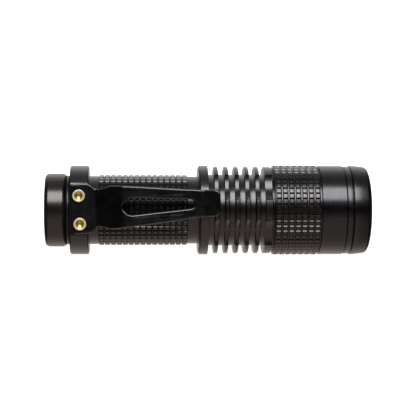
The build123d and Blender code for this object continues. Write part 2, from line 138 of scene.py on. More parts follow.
def ring_faces(rings, count, closed=False):
    """The faces between rings of count vertices each, and from the last ring to the first if closed."""
    faces = []
    for ring in range(rings if closed else rings - 1):
        here = ring * count
        there = ((ring + 1) % rings) * count
        for column in range(count):
            after = (column + 1) % count
            faces.append((here + column, here + after, there + after, there + column))
    return faces


def turned(name, outside, inside=(), angles=128, shape=None, smooth_angle=38):
    """
    A piece turned about the torch's axis. Its outline runs along outside and back along inside, as
    (x, radius) points. Angles are measured from +Z towards +Y, as a count or as a list in radians.
    shape(x, radius, angle) may change the radii of the outside.
    """
    if isinstance(angles, int):
        angles = np.arange(angles) * tau / angles
    angles = np.asarray(angles, float)
    outline = np.array(list(outside) + list(inside), float)
    x = np.repeat(outline[:, :1], len(angles), axis=1)
    r = np.repeat(outline[:, 1:], len(angles), axis=1)
    if shape is not None:
        rows = slice(0, len(outside))
        r[rows] = shape(x[rows], r[rows], angles[None, :])
    across = np.stack([x, r * np.sin(angles), r * np.cos(angles)], axis=-1).reshape(-1, 3)
    faces = ring_faces(len(outline), len(angles), closed=len(inside) > 0)
    return new_piece(name, across, faces, smooth_angle)


# Half the width of the groove between two knurled rows, as a part of their pitch.
row_edge = 0.187


def row_angles(rows):
    """Angles for rows of blocks round a turned piece, with each groove's floor and edges on them."""
    fractions = [0, *np.linspace(row_edge, 1 - row_edge, 5)]
    return np.array([(row + f) * tau / rows for row in range(rows) for f in fractions])


def row_mask(angle, rows):
    """How far out of its V-shaped groove a knurled surface stands, from 0 to 1, round the piece."""
    place = np.mod(angle * rows / tau + 0.5, 1) - 0.5
    return np.clip(np.abs(place) / row_edge, 0, 1)


def with_angles(angles, exact, gap=radians(0.45)):
    """The angles with some exact ones put in, and without those that stand too close to them."""
    exact = np.mod(exact, tau)
    apart = np.abs(np.mod(angles[:, None] - exact[None, :] + pi, tau) - pi).min(axis=1)
    return np.sort(np.concatenate([angles[apart > gap], exact]))


def ribs(back, front, count, root_r, crest_r, share, slope):
    """The (x, radius) points of a row of ribs, where share is the crest's part of the pitch."""
    pitch = (front - back) / count
    points = []
    for index in range(count):
        start = back + pitch * (index + (1 - share) / 2)
        end = start + pitch * share
        points += [(start - slope, root_r), (start, crest_r), (end, crest_r), (end + slope, root_r)]
    return points


# ---- Material tools ----------------------------------------------------------------------------


class Nodes:
    """A material's node tree, with short calls for the nodes that the finishes here are made of."""

    def __init__(self, name):
        self.material = bpy.data.materials.new(name)
        self.material.use_nodes = True
        self.tree = self.material.node_tree
        self.shader = self.tree.nodes["Principled BSDF"]
        self.place = self.add("ShaderNodeTexCoord").outputs["Object"]

    def add(self, kind, **settings):
        node = self.tree.nodes.new(kind)
        for key, value in settings.items():
            setattr(node, key, value)
        return node

    def link(self, output, socket):
        self.tree.links.new(output, socket)

    def noise(self, scale, detail=3.0, roughness=0.55, stretch=(1, 1, 1)):
        """Noise with features about 1/scale metres across, longer where stretch is small."""
        mapping = self.add("ShaderNodeMapping")
        mapping.inputs["Scale"].default_value = stretch
        self.link(self.place, mapping.inputs["Vector"])
        noise = self.add("ShaderNodeTexNoise")
        noise.inputs["Scale"].default_value = scale
        noise.inputs["Detail"].default_value = detail
        noise.inputs["Roughness"].default_value = roughness
        self.link(mapping.outputs["Vector"], noise.inputs["Vector"])
        return noise.outputs["Fac"]

    def span(self, value, low_in, high_in, low_out, high_out):
        """The value mapped from one range to another and kept within it."""
        ranged = self.add("ShaderNodeMapRange")
        for name, number in (
            ("From Min", low_in),
            ("From Max", high_in),
            ("To Min", low_out),
            ("To Max", high_out),
        ):
            ranged.inputs[name].default_value = number
        self.link(value, ranged.inputs["Value"])
        return ranged.outputs["Result"]

    def colours(self, value, *stops):
        """A colour ramp of (place, colour) stops."""
        ramp = self.add("ShaderNodeValToRGB")
        elements = ramp.color_ramp.elements
        while len(elements) < len(stops):
            elements.new(0.5)
        for element, (place, colour) in zip(elements, stops):
            element.position = place
            element.color = (*colour, 1)
        self.link(value, ramp.inputs["Fac"])
        return ramp.outputs["Color"]

    def mixed(self, factor, first, second):
        """A blend of two colours, each a colour or an output."""
        mix = self.add("ShaderNodeMix", data_type="RGBA")
        self.link(factor, mix.inputs["Factor"])
        for socket, value in ((mix.inputs["A"], first), (mix.inputs["B"], second)):
            if isinstance(value, tuple):
                socket.default_value = (*value, 1)
            else:
                self.link(value, socket)
        return mix.outputs["Result"]

    def added(self, first, second, how="ADD"):
        """Two values added, or joined by another operation."""
        maths = self.add("ShaderNodeMath", operation=how)
        for socket, value in zip(maths.inputs, (first, second)):
            if isinstance(value, (int, float)):
                socket.default_value = value
            else:
                self.link(value, socket)
        return maths.outputs["Value"]

    def edges(self, start=0.505, end=0.56):
        """From 0 on open surface to 1 on an outside edge."""
        pointiness = self.add("ShaderNodeNewGeometry").outputs["Pointiness"]
        return self.span(pointiness, start, end, 0, 1)

    def bump(self, height, depth_mm, strength=1.0):
        """Relief of about depth_mm on the surface."""
        bump = self.add("ShaderNodeBump")
        bump.inputs["Strength"].default_value = strength
        bump.inputs["Distance"].default_value = depth_mm * mm
        self.link(height, bump.inputs["Height"])
        self.link(bump.outputs["Normal"], self.shader.inputs["Normal"])

    def set(self, **values):
        """Shader sockets by name, with _ for a space; a value or an output."""
        for name, value in values.items():
            socket = self.shader.inputs[name.replace("_", " ")]
            if isinstance(value, bpy.types.NodeSocket):
                self.link(value, socket)
            elif isinstance(value, tuple):
                socket.default_value = (*value, 1)
            else:
                socket.default_value = value
        return self


# ---- Finishes ----------------------------------------------------------------------------------


def anodised(name, painted_light_tint=(1.0, 0.95, 0.93), gloss=0.235, lines=1.0, base_scale=1.0, ior=1.62):
    """
    Satin black anodised aluminium: a dark dyed skin with slow mottling, a fine blasted grain, the
    turning lines under it, and edges where the anodised colour is thinner. The tint is painted light:
    it colours the skin and its reflections with the colour of the light on that part. The brightness
    factor makes the base colour lighter.
    """
    n = Nodes(name)
    mottle = n.noise(260, detail=4)
    turning = n.noise(900, detail=5, roughness=0.7, stretch=(9, 0.05, 0.05))
    grain = n.noise(9000, detail=2)
    dust = n.noise(2600, detail=1)
    # Painted light: the tint gives the base the colour of the light on this part, and the brightness
    # factor lifts it.
    dark = tuple(0.0003 * base_scale * c for c in painted_light_tint)
    light = tuple(0.0009 * base_scale * c for c in painted_light_tint)
    worn = tuple(0.03 * c for c in painted_light_tint)
    base = n.colours(mottle, (0.3, dark), (0.7, light))
    edge = n.added(n.edges(0.54, 0.66), n.span(mottle, 0.35, 0.65, 0.2, 1.0), "MULTIPLY")
    speck = n.span(dust, 0.76, 0.82, 0, 0.5)
    base = n.mixed(n.added(edge, speck, "MAXIMUM"), base, worn)
    rough = n.added(
        n.span(mottle, 0.3, 0.7, gloss - 0.03, gloss + 0.03),
        n.span(turning, 0.3, 0.7, -0.025, 0.035),
    )
    n.set(Base_Color=base, Roughness=rough, IOR=ior)
    # Painted light: the tint gives the reflections the colour of the light on this part.
    n.shader.inputs["Specular Tint"].default_value = (*painted_light_tint, 1)
    height = n.added(
        n.added(grain, 0.35, "MULTIPLY"),
        n.added(turning, 0.65 * lines, "MULTIPLY"),
    )
    n.bump(height, 0.006, 0.5)
    return n.material


def coated_steel(name):
    """The clip's black coating: smoother and deeper black than the anodising, with rubbed edges."""
    n = Nodes(name)
    mottle = n.noise(320, detail=4)
    rolling = n.noise(700, detail=4, stretch=(0.12, 5, 1))
    peel = n.noise(2600, detail=2)
    base = n.colours(mottle, (0.3, (0.001, 0.001, 0.0009)), (0.7, (0.003, 0.003, 0.0027)))
    edge = n.added(n.edges(0.54, 0.66), n.span(mottle, 0.35, 0.6, 0.25, 1.0), "MULTIPLY")
    base = n.mixed(edge, base, (0.06, 0.056, 0.05))
    rough = n.added(
        n.span(mottle, 0.3, 0.7, 0.20, 0.27),
        n.span(rolling, 0.3, 0.7, -0.03, 0.03),
    )
    n.set(Base_Color=base, Roughness=rough, IOR=1.75)
    n.bump(n.added(peel, n.added(rolling, 0.5, "MULTIPLY")), 0.004, 0.4)
    return n.material


def metal(name, bright, dark, rough=0.22, scale=800, stretch=(6, 0.4, 0.4), bump_mm=0.004):
    """Bare metal with machining lines, tarnish in patches and brighter edges."""
    n = Nodes(name)
    tarnish = n.noise(450, detail=5)
    lines = n.noise(scale, detail=4, stretch=stretch)
    base = n.colours(tarnish, (0.3, dark), (0.62, bright))
    shine = tuple(min(1.0, 1.12 * c) for c in bright)
    base = n.mixed(n.edges(), base, shine)
    roughness = n.added(
        n.span(tarnish, 0.3, 0.7, rough + 0.08, rough - 0.05),
        n.span(lines, 0.3, 0.7, -0.04, 0.06),
    )
    n.set(Base_Color=base, Metallic=1.0, Roughness=roughness)
    n.bump(lines, bump_mm, 0.5)
    return n.material


def moulded(name, colour, shade=0.82, rough=0.45, grain=3000, depth_mm=0.006, ior=1.49, coat=0.0):
    """Moulded plastic, rubber or a coated board, with a fine grain and slow shading."""
    n = Nodes(name)
    slow = n.noise(350, detail=3)
    fine = n.noise(grain, detail=3)
    base = n.colours(slow, (0.3, tuple(shade * c for c in colour)), (0.7, colour))
    roughness = n.added(
        n.span(slow, 0.3, 0.7, rough - 0.05, rough + 0.05),
        n.span(fine, 0.3, 0.7, -0.05, 0.05),
    )
    n.set(Base_Color=base, Roughness=roughness, IOR=ior)
    n.shader.inputs["Coat Weight"].default_value = coat
    n.bump(fine, depth_mm, 0.5)
    return n.material


def clear(name, tint=(0.97, 0.985, 1.0)):
    """Clear moulded lens plastic, with faint flow marks and a little dust."""
    n = Nodes(name)
    flow = n.noise(180, detail=2)
    dust = n.noise(3800, detail=1)
    n.set(
        Base_Color=n.colours(flow, (0.3, tuple(0.98 * c for c in tint)), (0.7, tint)),
        Roughness=n.span(dust, 0.68, 0.8, 0.015, 0.2),
        IOR=1.49,
    )
    n.shader.inputs["Transmission Weight"].default_value = 1.0
    n.bump(flow, 0.004, 0.25)
    return n.material


def screw_finish(name):
    """Brass screws with tarnish and tool marks; the rim is painted pale as a highlight and the recess a
    darker gold as shade.
    """
    n = Nodes(name)
    tarnish = n.noise(1500, detail=4)
    marks = n.noise(5200, detail=3)
    parts = n.add("ShaderNodeSeparateXYZ")
    n.link(n.place, parts.inputs["Vector"])
    base_z = (collar_flat_z + clip_thickness) * mm
    # Painted light by height: the raised rim gets a pale, less metallic colour as a painted highlight,
    # and the recess a darker gold as painted shade.
    rim = n.span(parts.outputs["Z"], base_z + 0.62 * mm, base_z + 0.8 * mm, 0, 1)
    pale = n.colours(tarnish, (0.3, (0.82, 0.72, 0.40)), (0.65, (0.97, 0.92, 0.66)))
    recess_shade = n.colours(tarnish, (0.3, (0.50, 0.29, 0.06)), (0.65, (0.86, 0.60, 0.18)))
    n.set(
        Base_Color=n.mixed(rim, recess_shade, pale),
        Metallic=n.span(rim, 0, 1, 0.85, 0.25),
        Roughness=n.added(n.span(tarnish, 0.3, 0.7, 0.36, 0.28), n.span(marks, 0.3, 0.7, -0.05, 0.06)),
        IOR=1.6,
    )
    n.bump(marks, 0.006, 0.5)
    return n.material


# One finish copied for the tube, the tail cap and the head. Each copy's tint is painted light, the
# light's colour on that part; the tail's copy also has a much lighter base colour.
black_skin = anodised("black_anodised", gloss=0.25, base_scale=3, ior=1.75)
tail_skin = anodised("black_anodised_tail", painted_light_tint=(1.0, 0.93, 0.87), gloss=0.235, base_scale=9, ior=1.66)
head_skin = anodised("black_anodised_head", painted_light_tint=(1.0, 0.975, 1.0), gloss=0.235)
clip_skin = coated_steel("black_coated_steel")
screw_brass = screw_finish("screw_brass")
seal_rubber = moulded("seal_rubber", (0.006, 0.006, 0.0065), rough=0.3, grain=2600, ior=1.6)

finishes = {
    "anodised": black_skin,
    "clip_steel": clip_skin,
    "brass": metal("turned_brass", (0.86, 0.68, 0.34), (0.55, 0.38, 0.15), rough=0.28),
    "rubber": moulded("black_rubber", (0.012, 0.012, 0.012), rough=0.62, grain=2200, depth_mm=0.02),
    "lens_clear": clear("clear_lens"),
    "spring_steel": metal("spring_wire", (0.72, 0.72, 0.74), (0.42, 0.41, 0.40), rough=0.25),
    "pcb_white": moulded("white_board", (0.80, 0.80, 0.78), rough=0.35, coat=0.4),
    "pcb_green": moulded("green_board", (0.02, 0.13, 0.05), rough=0.32, coat=0.5),
    "plastic_black": moulded("black_plastic", (0.012, 0.012, 0.013), rough=0.42),
    "plastic_white": moulded("white_plastic", (0.82, 0.82, 0.79), shade=0.92, rough=0.4),
    "phosphor": moulded("led_phosphor", (0.95, 0.72, 0.05), shade=0.9, rough=0.6, grain=9000),
    "cell_steel": metal("plated_steel", (0.78, 0.78, 0.79), (0.60, 0.60, 0.61), rough=0.16),
    "cell_core": moulded("cell_paste", (0.02, 0.02, 0.022), rough=0.8),
    "cell_wrap": moulded("cell_wrap", (0.03, 0.09, 0.30), shade=0.9, rough=0.2, depth_mm=0.002),
    "chip_black": moulded("chip_black", (0.014, 0.014, 0.015), rough=0.5),
    "capacitor": moulded("capacitor_ceramic", (0.42, 0.27, 0.14), rough=0.35),
    "lead_red": moulded("red_wire", (0.45, 0.015, 0.01), rough=0.35),
    "lead_black": moulded("black_wire", (0.015, 0.015, 0.016), rough=0.35),
}

for part in frame["record"]["subparts"]:
    for material_slot in frame["nodes"][part["node"]].material_slots:
        material_slot.material = finishes[part["material_slot"]]


def placed(piece, body, nodes, slot_name, material=None):
    """Give a piece its finish and its body, and hide the CAD nodes that it stands for."""
    piece.data.materials.clear()
    piece.data.materials.append(material or finishes[slot_name])
    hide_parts(*nodes)
    if body:
        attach(piece, body)
    return piece


# ---- Battery tube ------------------------------------------------------------------------------

edge_break = 0.1
far_out_r = 99.0
tube_back, neck_front = low("battery_tube"), high("battery_tube")
collar_front = 12.65
collar_r = 12.9
collar_edge = 0.3
collar_flat_reach = 0.3
tube_r = 9.93
grip_back = 15.4
grip_front = 41.2
grip_crest_r = 10.2
grip_root_r = 9.84
grip_ribs = 15
grip_share = 0.72
grip_slope = 0.12
grip_rows = 40
waist_r = 9.8
first_fin_back = 44.3
first_fin_front = 47.0
first_fin_r = 13.0
first_fin_bevel = (0.4, 0.5)
fin_r = 12.66
fin_first_x = 49.4
fin_pitch = 2.95
fin_count = 5
fin_tip = 1.0
fin_foot = 1.35
fin_floor_r = 10.36
last_ring_back = 63.4
last_ring_front = 65.45
last_ring_chamfer = 0.2
flute_cutter_r = 7.5
flute_floor_r = 10.45
flute_centre_r = flute_floor_r + flute_cutter_r
flute_angles = (33.4, -33.4, 146.6, -146.6)
neck_r = 10.4
neck_chamfer = 0.3
stop_groove_back, stop_groove_front, stop_groove_r = 77.5, 78.4, 9.9
seal_groove_back, seal_groove_front, seal_groove_r = 78.8, 80.7, 9.8
socket_r = 9.0
socket_depth = 13.9
cell_bore_r = 7.6
pill_seat = 68.0
pill_bore_r = 8.6


def flute_radius(angle):
    """The radius of the milled flutes' surface at an angle, or far_out_r between the flutes."""
    turns = [np.mod(angle - radians(middle) + pi, tau) - pi for middle in flute_angles]
    away = np.min(np.abs(turns), axis=0)
    inside = flute_cutter_r**2 - (flute_centre_r * np.sin(away)) ** 2
    reach = flute_centre_r * np.cos(away) - np.sqrt(np.maximum(inside, 0))
    return np.where((inside > 0) & (away < pi / 2), reach, far_out_r)


def flute_edges():
    """The angles where the flutes cut the fins' lands."""
    reach = acos((fin_r**2 + flute_centre_r**2 - flute_cutter_r**2) / (2 * fin_r * flute_centre_r))
    return np.array([radians(middle) + side * reach for middle in flute_angles for side in (-1, 1)])


def tube_shape(x, r, angle):
    """Cuts the grip's rows, the fins' flutes and the collar's flat into the turned tube."""
    in_grip = (x > grip_back) & (x < grip_front) & (r > grip_root_r)
    mask = row_mask(angle, grip_rows)
    r = np.where(in_grip, np.minimum(r, grip_root_r + (grip_crest_r - grip_root_r) * mask), r)
    in_fins = (x > first_fin_front + 0.05) & (x < last_ring_front + 0.05)
    r = np.where(in_fins, np.minimum(r, flute_radius(angle)), r)
    in_collar = x < collar_front + 0.01
    upright = np.cos(angle)
    on_top = upright > collar_flat_reach
    flat = np.where(on_top, collar_flat_z / np.maximum(upright, collar_flat_reach), far_out_r)
    return np.where(in_collar, np.minimum(r, flat), r)


def fins():
    """The (x, radius) points of the cooling fins between the first fin and the last ring."""
    points = []
    for index in range(fin_count):
        x = fin_first_x + index * fin_pitch
        points += [
            (x - fin_foot / 2, fin_floor_r),
            (x - fin_tip / 2, fin_r),
            (x + fin_tip / 2, fin_r),
            (x + fin_foot / 2, fin_floor_r),
        ]
    return points


def battery_tube():
    """The tube: collar with its flat, knurled grip, waist, first fin, fluted fins and neck."""
    outside = [
        (tube_back, socket_r),
        (tube_back, collar_r - collar_edge),
        (tube_back + collar_edge, collar_r),
        (collar_front - collar_edge, collar_r),
        (collar_front, collar_r - collar_edge),
        (collar_front, tube_r),
        (grip_back, tube_r),
        (grip_back, grip_root_r),
        *ribs(grip_back, grip_front, grip_ribs, grip_root_r, grip_crest_r, grip_share, grip_slope),
        (grip_front, grip_root_r),
        (grip_front, waist_r),
        (first_fin_back, waist_r),
        (first_fin_back, first_fin_r - first_fin_bevel[1]),
        (first_fin_back + first_fin_bevel[0], first_fin_r),
        (first_fin_front, first_fin_r),
        (first_fin_front, fin_floor_r),
        *fins(),
        (last_ring_back, fin_floor_r),
        (last_ring_back, fin_r),
        (last_ring_front - last_ring_chamfer, fin_r),
        (last_ring_front, fin_r - last_ring_chamfer),
        (last_ring_front, neck_r),
        (stop_groove_back, neck_r),
        (stop_groove_back, stop_groove_r),
        (stop_groove_front, stop_groove_r),
        (stop_groove_front, neck_r),
        (seal_groove_back, neck_r),
        (seal_groove_back, seal_groove_r),
        (seal_groove_front, seal_groove_r),
        (seal_groove_front, neck_r),
        (neck_front - neck_chamfer, neck_r),
        (neck_front, neck_r - neck_chamfer),
        (neck_front, pill_bore_r),
    ]
    inside = [
        (pill_seat, pill_bore_r),
        (pill_seat, cell_bore_r),
        (socket_depth, cell_bore_r),
        (socket_depth, socket_r),
    ]
    angles = with_angles(row_angles(grip_rows), flute_edges())
    piece = turned("battery_tube_body", eased(outside, edge_break), inside, angles, tube_shape, 40)
    placed(piece, "tube", ["battery_tube"], "anodised", black_skin)


battery_tube()

# ---- Zoom head ---------------------------------------------------------------------------------

head_back = low("head_sleeve")
head_edge = 0.05
knurl_r = 13.08
knurl_root_r = 12.8
knurl_back = 66.1
knurl_front = 79.15
knurl_ribs = 7
knurl_share = 0.63
knurl_slope = 0.17
knurl_rows = 52
knurl_phase = radians(0.84)
joint_back = 79.0
head_bore_r = 11.42
lip_r = neck_r + 0.08
lip_front = 68.4
thread_seat_back = 74.5
thread_seat_r = 12.1
spigot_back = thread_seat_back + 0.1
spigot_r = thread_seat_r - 0.05
bezel_back = 79.55
bezel_chamfer = 0.12
bezel_r = 13.0
band_back, band_front = 86.95, 88.45
band_r = bezel_r - 0.2
band_groove_r = (bezel_r - 0.42, bezel_r - 0.45)
groove_width, groove_floor = 0.4, 0.06
ridge_back, ridge_front = 88.85, 89.3
ridge_r = bezel_r + 0.03
crown_back = 92.7
crown_r = bezel_r - 0.28
crown_front_r = bezel_r - 1.8
torch_front = high("bezel")
bezel_mouth_r = 10.3
bezel_lip_back = 89.4
crown_inner_r = 10.9
crown_chamfer = 0.6


def head_shape(x, r, angle):
    """Cuts the head's lengthwise rows."""
    in_knurl = (x > knurl_back) & (x < knurl_front) & (r > knurl_root_r)
    mask = row_mask(angle - knurl_phase, knurl_rows)
    return np.where(in_knurl, np.minimum(r, knurl_root_r + (knurl_r - knurl_root_r) * mask), r)


def head_sleeve():
    """The knurled rear half of the head."""
    outside = [
        (head_back, lip_r),
        (head_back, knurl_r - 0.5),
        (knurl_back, knurl_root_r),
        *ribs(knurl_back, knurl_front, knurl_ribs, knurl_root_r, knurl_r, knurl_share, knurl_slope),
        (joint_back, knurl_root_r),
        (joint_back, thread_seat_r),
    ]
    inside = [
        (thread_seat_back, thread_seat_r),
        (thread_seat_back, head_bore_r),
        (lip_front, head_bore_r),
        (lip_front, lip_r),
    ]
    angles = row_angles(knurl_rows) + knurl_phase
    piece = turned("head_sleeve_body", eased(outside, head_edge), inside, angles, head_shape, 40)
    placed(piece, "head", ["head_sleeve"], "anodised", black_skin)


def bezel():
    """The smooth front half of the head, with a sunk band between two grooves and a rounded crown."""
    taper = [
        (ridge_front + (crown_back - ridge_front) * t, ridge_r - (ridge_r - crown_r) * t**1.6)
        for t in (0, 0.25, 0.5, 0.75)
    ]
    crown = [
        (
            crown_back + (torch_front - crown_back) * sin(a),
            crown_front_r + (crown_r - crown_front_r) * cos(a),
        )
        for a in np.linspace(0.12, pi / 2, 9)
    ]
    outside = [
        (bezel_back, spigot_r),
        (bezel_back, bezel_r - bezel_chamfer),
        (bezel_back + bezel_chamfer, bezel_r),
        (band_back - groove_width, bezel_r),
        (band_back - (groove_width + groove_floor) / 2, band_groove_r[0]),
        (band_back - (groove_width - groove_floor) / 2, band_groove_r[0]),
        (band_back, band_r),
        (band_front, band_r),
        (band_front + (groove_width - groove_floor) / 2, band_groove_r[1]),
        (band_front + (groove_width + groove_floor) / 2, band_groove_r[1]),
        (ridge_back, ridge_r),
        *taper,
        *crown,
        (torch_front, crown_inner_r),
        (torch_front - crown_chamfer, bezel_mouth_r),
        (bezel_lip_back, bezel_mouth_r),
    ]
    inside = [
        (bezel_lip_back, head_bore_r),
        (spigot_back, head_bore_r),
        (spigot_back, spigot_r),
    ]
    piece = turned("bezel_body", eased(outside, head_edge), inside, 240, smooth_angle=40)
    placed(piece, "head", ["bezel"], "anodised", head_skin)


head_sleeve()
bezel()

# ---- Tail cap ----------------------------------------------------------------------------------

cap_length = 6.2
cap_r = 10.64
cap_round = 1.2
cap_chamfer = (1.0, 0.6)
cap_cavity_r = 7.6
cap_end_wall = 1.6
button_hole_r = 5.6
hole_chamfer = 0.6
stub_r = 8.8
stub_end = high("tail_cap")
thread_back = 8.3
thread_front = 13.1
thread_pitch = 1.0
thread_depth = 0.4
thread_run_out = 0.6
thread_step = 0.08
boot_r = 5.3
boot_flange_r = 7.5
boot_wall = 0.75
boot_shoulder = 0.7
boot_ring_pitch = 0.9
boot_ring_depth = 0.16
boot_nub_r = 1.6
coil_r = 2.1
coil_wire_r = 0.18
coil_pitch = 0.68


def cap_shape(x, r, angle):
    """Winds the male thread round the cap's stub."""
    turn = np.mod((x - thread_back) / thread_pitch + angle / tau, 1)
    ridge = np.clip(1.6 - 4 * np.abs(turn - 0.5), 0, 1)
    from_end = np.minimum(x - thread_back, thread_front - x)
    fade = np.clip(from_end / thread_run_out, 0, 1)
    in_thread = (x > thread_back - 0.01) & (x < thread_front + 0.01)
    return np.where(in_thread, stub_r - thread_depth + thread_depth * ridge * fade, r)


def tail_cap():
    """The smooth tail cap, with the threaded stub that goes into the tube."""
    rear = [
        (cap_round * (1 - cos(a)), cap_r - cap_round * (1 - sin(a)))
        for a in np.linspace(0, pi / 2, 8)
    ]
    front = [
        (cap_length - cap_chamfer[0], cap_r),
        (cap_length - 0.5 * cap_chamfer[0], cap_r - 0.36 * cap_chamfer[1]),
        (cap_length, cap_r - cap_chamfer[1]),
        (cap_length, stub_r),
        (thread_back - 0.3, stub_r),
    ]
    stations = int((thread_front - thread_back) / thread_step)
    thread = [(x, stub_r - thread_depth) for x in np.linspace(thread_back, thread_front, stations)]
    hole = [(hole_chamfer, button_hole_r), (0, button_hole_r + hole_chamfer)]
    outside = eased([*hole, *rear, *front], 0.06)
    outside += [*thread, (stub_end, stub_r - thread_depth)]
    inside = [
        (stub_end, cap_cavity_r),
        (cap_end_wall, cap_cavity_r),
        (cap_end_wall, button_hole_r),
    ]
    piece = turned("tail_cap_body", outside, inside, 144, cap_shape, 40)
    placed(piece, "cap", ["tail_cap"], "anodised", tail_skin)


def button_boot():
    """The rubber button cover, with shallow raised rings and a hollow under it."""
    top = low("button_boot")
    flange_back, flange_front = cap_end_wall + 0.05, high("button_boot")
    hollow_r = boot_r - boot_wall
    face_x = top + 0.03
    face = []
    for r in np.linspace(0, boot_r - boot_shoulder - 0.05, 56):
        wave = 0.5 - 0.5 * cos(tau * r / boot_ring_pitch)
        face.append((face_x + boot_ring_depth * wave * (r > boot_ring_pitch / 2), r))
    edge = [
        (top + 0.1 + 0.6 * (1 - cos(a)), boot_r - boot_shoulder * (1 - sin(a)))
        for a in np.linspace(0.25, pi / 2, 7)
    ]
    outside = [
        *face,
        *edge,
        (flange_back, boot_r),
        (flange_back, boot_flange_r),
        (flange_front, boot_flange_r),
        (flange_front, hollow_r),
        (1.9, hollow_r),
        (top + boot_wall, hollow_r),
        (top + boot_wall, boot_nub_r),
        (2.0, boot_nub_r),
        (flange_front, boot_nub_r),
        (flange_front, 0),
    ]
    piece = turned("button_boot_cover", outside, (), 96, None, 45)
    placed(piece, None, ["button_boot"], "rubber")
    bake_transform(piece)


def switch_coil():
    """The switch's return spring, a round wire coil made at one length."""
    back, front = low("switch_spring") + coil_wire_r, high("switch_spring") - coil_wire_r
    steps, sides = 36, 10
    count = round((front - back) / coil_pitch * steps)
    vertices = []
    for i in range(count + 1):
        a = tau * i / steps
        for b in np.arange(sides) * tau / sides:
            r = coil_r + coil_wire_r * cos(b)
            x = back + (front - back) * i / count + coil_wire_r * sin(b)
            vertices.append((x, r * sin(a), r * cos(a)))
    faces = ring_faces(count + 1, sides)
    faces.append(tuple(range(sides)))
    faces.append(tuple(count * sides + j for j in reversed(range(sides))))
    piece = new_piece("switch_spring_coil", vertices, faces)
    placed(piece, "cap", ["switch_spring"], "spring_steel")
    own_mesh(piece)


def seal():
    """The rubber ring in the gap between the cap and the tube, with rounded shoulders."""
    back, front = low("tail_seal"), high("tail_seal")
    outer_r, inner_r = high("tail_seal", 1), stub_r + 0.06
    shoulder = 0.22
    half = (front - back) / 2
    middle = (back + front) / 2
    round_top = [
        (middle + half * sin(a), outer_r - shoulder * (1 - cos(a)))
        for a in np.linspace(-pi / 2, pi / 2, 11)
    ]
    outside = [(back, inner_r), *round_top, (front, inner_r)]
    piece = turned("tail_seal_ring", outside, [(middle, inner_r)], 160, None, 40)
    placed(piece, "seal_ring", ["tail_seal"], "rubber", seal_rubber)


tail_cap()
switch_coil()
seal()
button_boot()

# ---- Pocket clip -------------------------------------------------------------------------------

clip_origin = (10.3, 0.3)
clip_skew = radians(2.5)
clip_edge = 0.42
clip_length = 40.0
clip_end = clip_length + 0.3
clip_bend = 4.6
clip_tip_round = 1.6
clip_plan_round = 1.0
clip_bend_round = 0.56
clip_touch = 35.1
clip_touch_z = first_fin_r + 0.15
clip_tip_rise = 1.4
clip_half_plan = [
    (-2.8, 6.3),
    (-1.9, 7.2),
    (2.5, 7.2),
    (4.6, 5.55),
    (6.0, 5.3),
    (7.6, 5.7),
    (9.0, 6.15),
    (13.5, 5.9),
    (31.0, 4.2),
    (35.5, 3.85),
    (clip_length, 3.8),
]
clip_under = [
    (-2.9, collar_flat_z),
    (clip_bend, collar_flat_z),
    (12.6, collar_flat_z + 3.4),
    (clip_touch, clip_touch_z),
    (clip_end, clip_touch_z + clip_tip_rise * (clip_end - clip_touch) / (clip_length - clip_touch)),
]
slot_big_end = (14.8, 2.43)
slot_small_end = (31.3, 1.3)
screw_spacing = 8.05
screw_centre = (-0.18, -0.3)


def clip_frame():
    """The matrix from the clip's own frame, along it, across it and up, to the torch's."""
    turn = Matrix.Rotation(clip_skew, 4, "Z")
    return Matrix.Translation((*clip_origin, 0)) @ turn


def slot_outline():
    """The slot in the clip: two round ends joined by their common tangents."""
    big_u, big_r = slot_big_end
    small_u, small_r = slot_small_end
    lean = asin((big_r - small_r) / (small_u - big_u))
    start = pi / 2 - lean
    points = []
    for a in np.linspace(start, tau - start, 25):
        points.append((big_u + big_r * cos(a), big_r * sin(a)))
    for a in np.linspace(-start, start, 15):
        points.append((small_u + small_r * cos(a), small_r * sin(a)))
    return points


def flat_outline(name, outlines, half_thickness, edge):
    """A flat plate in mm from closed outlines, where the later ones are holes, with round edges."""
    curve = bpy.data.curves.new(name, "CURVE")
    curve.dimensions = "2D"
    curve.fill_mode = "BOTH"
    curve.extrude = half_thickness - edge
    curve.bevel_depth = edge
    curve.bevel_resolution = 3
    curve.offset = -edge
    for points in outlines:
        spline = curve.splines.new("POLY")
        spline.points.add(len(points) - 1)
        for point, (u, v) in zip(spline.points, points):
            point.co = (u, v, 0, 1)
        spline.use_cyclic_u = True
    carrier = bpy.data.objects.new(name, curve)
    mesh = bpy.data.meshes.new_from_object(carrier)
    bpy.data.objects.remove(carrier)
    bpy.data.curves.remove(curve)
    return mesh


def clip_height(u):
    """The height and slope of the clip's underside at a distance along it."""
    line = eased(clip_under, clip_bend_round, steps=6)
    us = [p[0] for p in line]
    zs = [p[1] for p in line]
    reach = 0.05
    slope = (np.interp(u + reach, us, zs) - np.interp(u - reach, us, zs)) / (2 * reach)
    return np.interp(u, us, zs), slope


def cut_across(sheet, point, normal):
    """Put a row of edges in a sheet where a plane meets it, so that it can bend there."""
    everything = list(sheet.verts) + list(sheet.edges) + list(sheet.faces)
    bmesh.ops.bisect_plane(sheet, geom=everything, dist=1e-5, plane_co=point, plane_no=normal)


